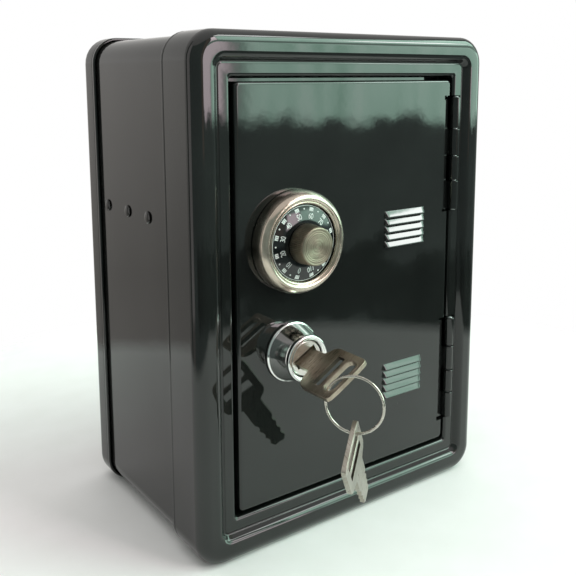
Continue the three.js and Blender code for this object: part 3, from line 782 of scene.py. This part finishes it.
def on_plate(radius, angle, lift=0.05):
    """Point on the plate; the angle runs clockwise from the top."""
    x = DIAL["x"] + radius * math.sin(angle)
    z = DIAL["z"] + radius * math.cos(angle)
    return place(x, plate_surface(radius) - lift, z)


def mark_patch(bm, radius, angle, height, width):
    """A small printed bar that follows the plate, centred on a radius."""
    lows = []
    highs = []
    for side in (-0.5, 0.5):
        spread = side * width / radius
        lows.append(bm.verts.new(on_plate(radius - height / 2, angle + spread)))
        highs.append(bm.verts.new(on_plate(radius + height / 2, angle + spread)))
    bm.faces.new((lows[0], lows[1], highs[1], highs[0]))


def dial_marks():
    """Printed scale: a numeral, a block of ticks and a dot for each step, and a fine line round the edge."""
    bm = bmesh.new()
    for number in range(0, 120, 10):
        angle = math.radians((number - 55) * DIAL_STEP / 10)
        for i in range(3):
            mark_patch(bm, 11.75, angle + math.radians((i - 1) * 2.9), 1.25, 0.46)
        mark_patch(bm, 12.2, angle, 0.35, 1.65)
        if number < 110:
            dot_angle = angle + math.radians(DIAL_STEP / 2)
            centre = bm.verts.new(on_plate(11.8, dot_angle))
            around = []
            for i in range(12):
                turn = 2 * math.pi * i / 12
                reach = 0.3
                around.append(bm.verts.new(on_plate(
                    11.8 + reach * math.cos(turn),
                    dot_angle + reach * math.sin(turn) / 11.8,
                )))
            for i in range(12):
                bm.faces.new((centre, around[i], around[(i + 1) % 12]))
    for i in range(120):
        start = 2 * math.pi * i / 120
        end = 2 * math.pi * (i + 1) / 120
        bm.faces.new([bm.verts.new(on_plate(r, a)) for r, a in (
            (12.82, start), (12.82, end), (12.98, end), (12.98, start),
        )])
    for number in range(0, 120, 10):
        angle = math.radians((number - 55) * DIAL_STEP / 10)
        add_numeral(bm, str(number), angle)
    piece = add_piece("dial_marks", bm, WHITE_PRINT, "dial", sharp=180)
    return piece


def add_numeral(bm, text, angle, radius=9.35, size=2.7):
    """Digits printed on the plate with their tops outwards."""
    curve = bpy.data.curves.new("numeral", "FONT")
    curve.body = text
    curve.size = size
    curve.align_x = "CENTER"
    curve.align_y = "CENTER"
    curve.offset = 0.015
    curve.space_character = 0.92
    holder = bpy.data.objects.new("numeral", curve)
    bpy.context.collection.objects.link(holder)
    depsgraph = bpy.context.evaluated_depsgraph_get()
    mesh = bpy.data.meshes.new_from_object(holder.evaluated_get(depsgraph))
    for vert in mesh.vertices:
        across = vert.co.x * 0.82
        outward = vert.co.y
        distance = math.hypot(radius + outward, across)
        vert.co = on_plate(distance, angle + math.atan2(across, radius + outward))
    bm.from_mesh(mesh)
    bpy.data.objects.remove(holder)
    bpy.data.curves.remove(curve)
    bpy.data.meshes.remove(mesh)


def dial_knob():
    base = DIAL_PLATE_Y - 0.55
    face = DIAL_KNOB_Y
    radius = DIAL["knob"]
    bore = DIAL["spindle"] + 0.3
    profile = [(bore, base), (radius - 0.15, base), (radius, base - 0.2), (radius - 0.02, base - 0.8)]
    profile += [(radius - 0.38, face + 0.75), (radius - 0.46, face + 0.45), (radius - 0.62, face + 0.2)]
    profile += [(radius - 0.86, face + 0.02), (radius - 1.0, face), (radius - 1.12, face + 0.1)]
    profile += [(radius - 1.25, face + 0.12), (0.9, face + 0.12), (0, face + 0.2), (0, face + 2), (bore, face + 2)]
    knurled = (2, 3, 4, 5)
    segments = KNURLS * 4

    def wobble(j, i):
        return -0.16 * (i % 4 in (0, 1)) if j in knurled else 0

    bm = bmesh.new()
    turned(bm, profile, DIAL["x"], DIAL["z"], segments, wobble)
    add_piece("dial_grip", bm, KNOB, "dial", ["dial_knob"], sharp=35)


# ---------------------------------------------------------------- lock
def plug_point(across, y, normal):
    """Point in the turned frame of the lock's plug."""
    x = LOCK["x"] + across * math.cos(KEY_ANGLE) - normal * math.sin(KEY_ANGLE)
    z = LOCK["z"] + across * math.sin(KEY_ANGLE) + normal * math.cos(KEY_ANGLE)
    return place(x, y, z)


def lock_body():
    foot = DOOR_Y - 0.3
    bore = LOCK["plug"] + 0.35
    base = LOCK["base"]
    face = LOCK["face"]
    profile = [(bore, LOCK_REAR_Y), (LOCK["barrel"], LOCK_REAR_Y), (LOCK["barrel"], foot), (base, foot)]
    profile += [(base, foot - 0.5), (base - 0.15, foot - 0.75), (base - 0.45, foot - 0.85)]
    profile += [(base - 0.55, foot - 1.0), (base - 0.65, foot - 1.3)]
    profile += [(face + 0.05, LOCK_FACE_Y + 2.1), (face - 0.1, LOCK_FACE_Y + 1.95), (face - 0.1, LOCK_FACE_Y + 1.7)]
    profile += [(face + 0.1, LOCK_FACE_Y + 1.5), (face + 0.1, LOCK_FACE_Y + 0.5), (face - 0.05, LOCK_FACE_Y + 0.12)]
    profile += [(face - 0.35, LOCK_FACE_Y), (face - 0.75, LOCK_FACE_Y + 0.02), (face - 1.05, LOCK_FACE_Y + 0.2)]
    profile += [(bore + 0.05, LOCK_FACE_Y + 0.75), (bore, LOCK_FACE_Y + 1.0)]
    bm = bmesh.new()
    turned(bm, profile, LOCK["x"], LOCK["z"], 96)
    add_piece("lock_body", bm, CHROME, "door", ["lock_housing"], sharp=55)


def lock_plug():
    face = LOCK_FACE_Y + 0.9
    radius = LOCK["plug"]
    profile = [(0, face), (radius - 0.3, face), (radius, face + 0.3), (radius, LOCK_REAR_Y + 0.1), (0, LOCK_REAR_Y + 0.1)]
    bm = bmesh.new()
    turned(bm, profile, LOCK["x"], LOCK["z"], 64)
    tail = bmesh.ops.create_cube(bm, size=1)["verts"]
    for vert in tail:
        across, y, normal = (2 * c for c in vert.co)
        vert.co = plug_point(2.5 * across, LOCK_REAR_Y + 0.45 + 0.95 * y, 2.5 * normal)
    piece = add_piece("lock_core", bm, PLUG, "plug", ["lock_plug"])
    width = KEY["blade"] / 2 + 0.5
    height = KEY["thickness"] / 2 + 0.35
    keyway_end = KEY_END_Y + KEY["length"] + 0.6
    for y_range, across, normals in (
        ((face - 1, keyway_end), (-width, width), (-height, height)),
        ((face - 1, face + 1.6), (-width, width), (-height, height + 1.3)),
    ):
        cutter = bmesh.new()
        for vert in bmesh.ops.create_cube(cutter, size=1)["verts"]:
            pick = [pair[0] if side < 0 else pair[1] for side, pair in zip(vert.co, (across, y_range, normals))]
            vert.co = plug_point(*pick)
        bmesh.ops.recalc_face_normals(cutter, faces=cutter.faces)
        carve(piece, cutter)


# ---------------------------------------------------------------- keys and ring
def key_outline():
    """Outline of a key: X across, Y from the far end of the bow to the tip of the blade."""
    right = KEY["shift"] + KEY["bow"] / 2
    left = KEY["shift"] - KEY["bow"] / 2
    blade = KEY["blade"] / 2
    bow = KEY["bow_length"]
    cuts = [(0, 25), (-0.9, 26), (-0.9, 27), (-0.2, 28), (-1.2, 29.4), (-1.2, 30.4), (-0.5, 31.4)]
    cuts += [(-1.4, 32.6), (-1.4, 33.4), (-0.8, 34.4)]
    end = [(KEY["shift"] - 5, -0.0), (KEY["shift"] + 5, 0.0)]
    points = [(left + 1.3, 0.25), *end, (right - 1.3, 0.25), (right - 0.35, 0.7), (right, 1.5)]
    points += [(right, bow - 3.6), (right - 0.3, bow - 2.5), (right - 1.2, bow - 1.4), (right - 3.0, bow - 0.5)]
    points += [(blade + 0.7, bow), (blade + 0.15, bow + 0.3), (blade, bow + 0.9)]
    points += [(blade + dip, y) for dip, y in cuts]
    points += [(blade - 2, KEY["length"]), (-blade + 2, KEY["length"])]
    points += [(-blade - dip, y) for dip, y in reversed(cuts)]
    points += [(-blade, bow + 0.9), (-blade - 0.15, bow + 0.3), (-blade - 0.7, bow)]
    points += [(left + 2.4, bow - 0.6), (left + 1.0, bow - 1.5), (left + 0.25, bow - 2.6), (left, bow - 3.6)]
    points += [(left, 1.5), (left + 0.35, 0.7)]
    return points


def slot_outline(half, low, high, radius, steps=5):
    return rounded_outline(KEY["shift"] - half, KEY["shift"] + half, low, high, radius, steps)


def key_mesh(to_frame):
    """A stamped key with eased edges, a raised rim round the ring slot and grooves along the blade."""
    curve = bpy.data.curves.new("key", "CURVE")
    curve.dimensions = "2D"
    curve.fill_mode = "BOTH"
    ease = 0.14
    curve.extrude = KEY["thickness"] / 2 - ease
    curve.bevel_depth = ease
    curve.bevel_resolution = 2
    curve.offset = -ease
    bar = KEY_SLOT["bar"]
    top = bar + KEY_SLOT["width"]
    outlines = [
        key_outline(),
        slot_outline(KEY_SLOT["half"], bar, top, 2.05),
        slot_outline(6.4, top + 2, 11.2, 0.4, 2),
    ]
    for outline in outlines:
        spline = curve.splines.new("POLY")
        spline.points.add(len(outline) - 1)
        spline.use_cyclic_u = True
        for point, (x, y) in zip(spline.points, outline):
            point.co = (x, y, 0, 1)
    holder = bpy.data.objects.new("key", curve)
    bpy.context.collection.objects.link(holder)
    depsgraph = bpy.context.evaluated_depsgraph_get()
    mesh = bpy.data.meshes.new_from_object(holder.evaluated_get(depsgraph))
    bm = bmesh.new()
    bm.from_mesh(mesh)
    bpy.data.objects.remove(holder)
    bpy.data.curves.remove(curve)
    bpy.data.meshes.remove(mesh)
    bmesh.ops.remove_doubles(bm, verts=bm.verts, dist=1e-4)
    slot_rim(bm, bar, top)
    blade_ribs(bm)
    # painted shade: the window's inner walls get a near-black second material
    tarnish_window(bm, top + 2)
    for vert in bm.verts:
        vert.co = to_frame(*vert.co)
    return bm


def tarnish_window(bm, low):
    """Gives the walls of the bow's window the second material, a painted shade: near-black where shade falls inside
    the hole.
    """
    bm.normal_update()
    for face in bm.faces:
        centre = face.calc_center_median()
        inside = abs(centre.x - KEY["shift"]) < 6.6 and low - 0.15 < centre.y < 11.35
        if inside and abs(face.normal.z) < 0.9:
            face.material_index = 1


def slot_rim(bm, low, high):
    """Raised oval bead round the ring slot, on both faces."""
    reach = 0.75
    steps = 6
    face = KEY["thickness"] / 2
    for side in (-1, 1):
        rings = []
        for i in range(steps + 1):
            angle = math.pi * i / steps
            grow = 0.25 + reach * (1 - math.cos(angle)) / 2
            height = face - 0.05 + 0.14 * math.sin(angle)
            outline = slot_outline(KEY_SLOT["half"] + grow, low - min(grow, 0.9), high + grow, 2.05 + grow * 0.6)
            rings.append([bm.verts.new((x, y, side * height)) for x, y in outline])
        for first, second in zip(rings, rings[1:]):
            bridge(bm, first, second)
        bridge(bm, rings[-1], rings[0])


def blade_ribs(bm):
    """A milled groove runs the length of the blade between two low ribs."""
    face = KEY["thickness"] / 2
    start = KEY["bow_length"] + 0.5
    end = KEY["length"] - 1.2
    for side in (-1, 1):
        for centre in (-1.7, 1.7):
            rings = []
            for y in (start, end):
                section = [(-0.55, -0.1), (-0.4, 0.06), (0.4, 0.06), (0.55, -0.1)]
                rings.append([bm.verts.new((centre + x, y, side * (face + h))) for x, h in section])
            bridge(bm, rings[0], rings[1])
            bm.faces.new(rings[0])
            bm.faces.new(rings[1])


def main_key():
    def to_frame(x, y, z):
        return plug_point(x, KEY_END_Y + y, z)

    piece = add_piece("key_in_lock", key_mesh(to_frame), KEY_METAL, "main_key", ["main_key"])
    # second slot: painted shade on the inner walls of the window
    piece.data.materials.append(PAINTED_WINDOW_SHADE)


def ring_frame():
    """Centre and axes of the key ring, which threads the end slot of the key in the lock."""
    across = Vector((math.cos(KEY_ANGLE), 0, math.sin(KEY_ANGLE)))
    key_normal = Vector((-math.sin(KEY_ANGLE), 0, math.cos(KEY_ANGLE)))
    normal = Vector((-math.sin(RING["yaw"]), -math.cos(RING["yaw"]), 0))
    side = Vector((math.cos(RING["yaw"]), -math.sin(RING["yaw"]), 0))
    chord = key_normal.cross(normal).normalized()
    drop = normal.cross(chord).normalized()
    if drop.z > 0:
        drop.negate()
    bar = Vector((LOCK["x"], KEY_END_Y + KEY_SLOT["bar"] / 2, LOCK["z"]))
    centre = bar + across * (KEY["shift"] + RING["along"])
    centre.y = bar.y - RING["forward"]
    return centre + drop * RING["drop"], side, normal


def key_ring():
    centre, side, _ = ring_frame()
    up = Vector((0, 0, 1))
    normal = side.cross(up)
    bm = bmesh.new()
    turns = 120
    sides = 16
    rings = []
    gap = math.radians(1.2)  # the wire's two ends meet at the far side
    seam = math.radians(165)
    for i in range(turns + 1):
        angle = seam + gap + (2 * math.pi - 2 * gap) * i / turns
        outward = side * math.cos(angle) + up * math.sin(angle)
        ends = min(i, turns - i)
        wire = RING["wire"] * (0.8 if ends == 0 else 1)
        spine = centre + outward * RING["radius"]
        rings.append([
            bm.verts.new(place(*(
                spine + outward * wire * math.cos(a) + normal * wire * math.sin(a)
            ))) for a in (2 * math.pi * k / sides for k in range(sides))
        ])
    for first, second in zip(rings, rings[1:]):
        bridge(bm, first, second)
    bm.faces.new(rings[0])
    bm.faces.new(rings[-1])
    add_piece("ring_wire", bm, RING_STEEL, "key_ring", ["key_ring"])


def spare_key():
    centre, _, normal = ring_frame()
    up = Vector((0, 0, 1))
    bottom = centre - up * RING["radius"]
    across = up * math.sin(SPARE_TILT) - normal * math.cos(SPARE_TILT)
    along = -up * math.cos(SPARE_TILT) - normal * math.sin(SPARE_TILT)
    through = across.cross(along)
    clear = RING["wire"] + 0.45
    origin = bottom - across * (KEY["shift"] + KEY_SLOT["half"] - clear) - along * (KEY_SLOT["bar"] + clear)

    def to_frame(x, y, z):
        return place(*(origin + across * x + along * y + through * z))

    piece = add_piece("key_on_ring", key_mesh(to_frame), SPARE_METAL, "spare_key", ["spare_key"])
    # second slot: painted shade on the inner walls of the window
    piece.data.materials.append(PAINTED_WINDOW_SHADE)


# ---------------------------------------------------------------- surroundings
FLOOR_SOLID = 0.235
FLOOR_RADIUS = 0.262


def add_floor():
    bm = bmesh.new()
    bmesh.ops.create_circle(bm, cap_ends=True, segments=128, radius=FLOOR_RADIUS)
    mesh = bpy.data.meshes.new("floor")
    bm.to_mesh(mesh)
    bm.free()
    floor = bpy.data.objects.new("floor", mesh)
    bpy.context.collection.objects.link(floor)
    mesh.materials.append(shaded_floor("pale_floor"))


def add_world():
    """Soft studio: pale all round, a dark wall in front of the door and a tall bright window in it."""
    world = bpy.data.worlds.new("studio")
    bpy.context.scene.world = world
    world.use_nodes = True
    nodes = world.node_tree.nodes
    links = world.node_tree.links
    nodes.clear()
    coords = nodes.new("ShaderNodeTexCoord").outputs["Generated"]
    split = nodes.new("ShaderNodeSeparateXYZ")
    links.new(coords, split.inputs["Vector"])
    x, y, z = (split.outputs[k] for k in "XYZ")
    # A direction's bearing from the door's axis, positive to the right, and its height.
    bearing = math_node(nodes, links, "ARCTAN2", x, math_node(nodes, links, "MULTIPLY", y, -1))
    streaks = noise(nodes, links, stretched(nodes, links, coords, (1, 1, 0.06)), 34, 4, 0.7)
    ragged = noise(nodes, links, coords, 30, 3)
    edge_z = math_node(nodes, links, "ADD", z, remap(nodes, links, ragged, 0.3, 0.7, -0.012, 0.012))

    def between(value, low, high, soft):
        rise = remap(nodes, links, value, low - soft, low + soft, 0, 1)
        fall = remap(nodes, links, value, high - soft, high + soft, 1, 0)
        return math_node(nodes, links, "MULTIPLY", rise, fall)

    def patch(mask, colour, strength, under):
        mix = nodes.new("ShaderNodeMix")
        mix.data_type = "RGBA"
        links.new(mask, mix.inputs["Factor"])
        links.new(under, mix.inputs[6])
        if isinstance(colour, tuple):
            mix.inputs[7].default_value = (*[c * strength for c in colour], 1)
        else:
            links.new(colour, mix.inputs[7])
        return mix.outputs[2]

    height = remap(nodes, links, z, -1, 1, 0, 1)
    room = ramp(nodes, links, height, [
        (0.0, (0.4, 0.38, 0.36)), (0.38, (0.5, 0.48, 0.45)), (0.49, (0.86, 0.83, 0.79)),
        (0.53, (1.0, 0.98, 0.95)), (0.75, (0.7, 0.69, 0.67)), (1.0, (1.0, 0.98, 0.96)),
    ])

    def zone(left, right, low, high, soft=0.02, low_z=edge_z):
        return math_node(
            nodes, links, "MULTIPLY",
            between(bearing, math.radians(left), math.radians(right), soft),
            between(low_z, low, high, 0.008),
        )

    def graded(stops):
        """Colour by height: stops are (sine of the elevation, colour, radiance)."""
        return ramp(nodes, links, height, [
            ((sine + 1) / 2, [c * radiance for c in colour]) for sine, colour, radiance in stops
        ])

    wall = (0.27, 0.33, 0.31)
    room = patch(zone(-90, 100, -2, 0.7, 0.06, z), wall, 1.0, room)
    room = patch(zone(-125, -114, -2, 0.8, 0.03, z), wall, 0.5, room)
    room = patch(zone(-111, -88, -0.3, 0.7, 0.03, z), (1.0, 0.96, 0.94), 1.15, room)
    room = patch(zone(5, 17, -0.1, 0.68, 0.04), (0.62, 0.5, 0.42), 1.0, room)
    pink = (1.0, 0.86, 0.9)
    room = patch(zone(20, 31.6, -0.045, 0.69, 0.012), graded([(-0.05, pink, 6.0), (0.4, pink, 8.0), (0.68, pink, 12.0)]), 1, room)
    mint = ramp(nodes, links, streaks, [
        (0.3, (0.42, 0.7, 0.55)), (0.5, (0.62, 0.93, 0.77)), (0.72, (0.88, 1.1, 0.98)),
    ])
    rise = remap(nodes, links, z, -0.05, 0.68, 5.2, 8.0)
    tinted = nodes.new("ShaderNodeVectorMath")
    tinted.operation = "SCALE"
    links.new(mint, tinted.inputs[0])
    links.new(rise, tinted.inputs["Scale"])
    room = patch(zone(32.4, 84, -0.052, 0.68, 0.015), tinted.outputs["Vector"], 1, room)
    room = patch(zone(20, 84, 0.17, 0.36, 0.015, z), (0.6, 0.85, 0.72), 2.4, room)
    white = (1.0, 1.05, 1.02)
    room = patch(zone(33, 62, 0.71, 0.785, 0.05, z), white, 9.0, room)
    room = patch(zone(49, 60, 0.49, 0.549, 0.02, z), white, 17.0, room)
    ragged_z = math_node(nodes, links, "ADD", z, remap(nodes, links, ragged, 0.3, 0.7, -0.03, 0.03))
    room = patch(zone(-60, 70, -0.31, -0.215, 0.03, ragged_z), wall, 0.22, room)
    glow = nodes.new("ShaderNodeBackground")
    links.new(room, glow.inputs["Color"])
    seen = nodes.new("ShaderNodeBackground")
    seen.inputs["Color"].default_value = (1.0, 1.0, 1.0, 1)
    path = nodes.new("ShaderNodeLightPath")
    mix = nodes.new("ShaderNodeMixShader")
    links.new(path.outputs["Is Camera Ray"], mix.inputs["Fac"])
    links.new(glow.outputs["Background"], mix.inputs[1])
    links.new(seen.outputs["Background"], mix.inputs[2])
    out = nodes.new("ShaderNodeOutputWorld")
    links.new(mix.outputs["Shader"], out.inputs["Surface"])


def add_softbox(name, location, target, size, power, colour=(1, 1, 1)):
    data = bpy.data.lights.new(name, "AREA")
    data.shape = "RECTANGLE"
    data.size, data.size_y = size
    data.energy = power
    data.color = colour
    light = bpy.data.objects.new(name, data)
    bpy.context.collection.objects.link(light)
    light.visible_glossy = False
    light.location = location
    light.rotation_euler = (Vector(target) - Vector(location)).to_track_quat("-Z", "Y").to_euler()


# ---------------------------------------------------------------- assembly
add_camera()
bpy.context.scene.view_settings.view_transform = "Standard"

ENAMEL = enamel("black_enamel_gloss", (0.0075, 0.0085, 0.008), 0.03, 0.011, 0.018)
ENAMEL_SIDE = enamel("black_enamel_side", (0.009, 0.009, 0.0085), 0.05, 0.015, 0.03)
BEZEL = turned_metal("bezel_nickel", DIAL["x"], DIAL["z"], (0.38, 0.32, 0.26), (0.6, 0.53, 0.45), 0.22, 0.06)
KNOB = turned_metal("knob_nickel", DIAL["x"], DIAL["z"], (0.15, 0.13, 0.1), (0.3, 0.26, 0.2), 0.36, 0.5, 3000)
DIAL_BLACK = enamel("dial_black", (0.006, 0.008, 0.009), 0.06, 0.008, 0.01)
WHITE_PRINT = paint_mark("dial_print", (0.72, 0.76, 0.74))
CHROME = turned_metal("lock_chrome", LOCK["x"], LOCK["z"], (0.72, 0.71, 0.7), (0.84, 0.84, 0.83), 0.09, 0.03)
PLUG = turned_metal("plug_chrome", LOCK["x"], LOCK["z"], (0.55, 0.52, 0.49), (0.72, 0.7, 0.66), 0.2, 0.05)
KEY_METAL = brushed_metal(
    "key_nickel", (0.25, 0.21, 0.165), (0.5, 0.43, 0.35), 0.33, (1, 14, 1), (0, -KEY_ANGLE, 0), 0.3,
)
SPARE_METAL = brushed_metal("spare_key_nickel", (0.26, 0.24, 0.2), (0.44, 0.41, 0.36), 0.32, (9, 1, 1))
# Painted shade: a near-black metal for the inner walls of the keys' window, where shade falls in the hole.
PAINTED_WINDOW_SHADE = brushed_metal("key_window_painted_shade", (0.03, 0.025, 0.02), (0.09, 0.075, 0.06), 0.5, (1, 6, 1))
RING_STEEL = brushed_metal("ring_steel", (0.34, 0.32, 0.28), (0.55, 0.52, 0.47), 0.24, (1, 1, 6), grain=0.05)
ZINC = brushed_metal("zinc_plate", (0.42, 0.43, 0.44), (0.66, 0.67, 0.68), 0.32, (1, 1, 5))
BRASS = brushed_metal("wafer_brass", (0.5, 0.36, 0.15), (0.74, 0.57, 0.28), 0.3, (1, 8, 1))

front_frame()
body_shell()
back_cover()
rivets()
door_panel()
louvre_hoods()
hinges()
dial_bezel()
dial_plate()
dial_marks()
dial_knob()
lock_body()
lock_plug()
main_key()
key_ring()
spare_key()

finishes = {
    "black_enamel": ENAMEL_SIDE,
    "zinc_plated_steel": ZINC,
    "nickel_plate": KNOB,
    "dial_enamel": DIAL_BLACK,
    "chrome_plate": CHROME,
    "wafer_brass": BRASS,
}
slot_of = {part["node"]: part["material_slot"] for part in frame["record"]["subparts"]}
for node, piece in frame["nodes"].items():
    for index in range(len(piece.material_slots)):
        piece.material_slots[index].material = finishes[slot_of[node]]

add_floor()
add_world()
add_softbox("overhead", (0.0, -0.1, 0.9), (0, 0, 0.05), (0.9, 0.7), 1.5)
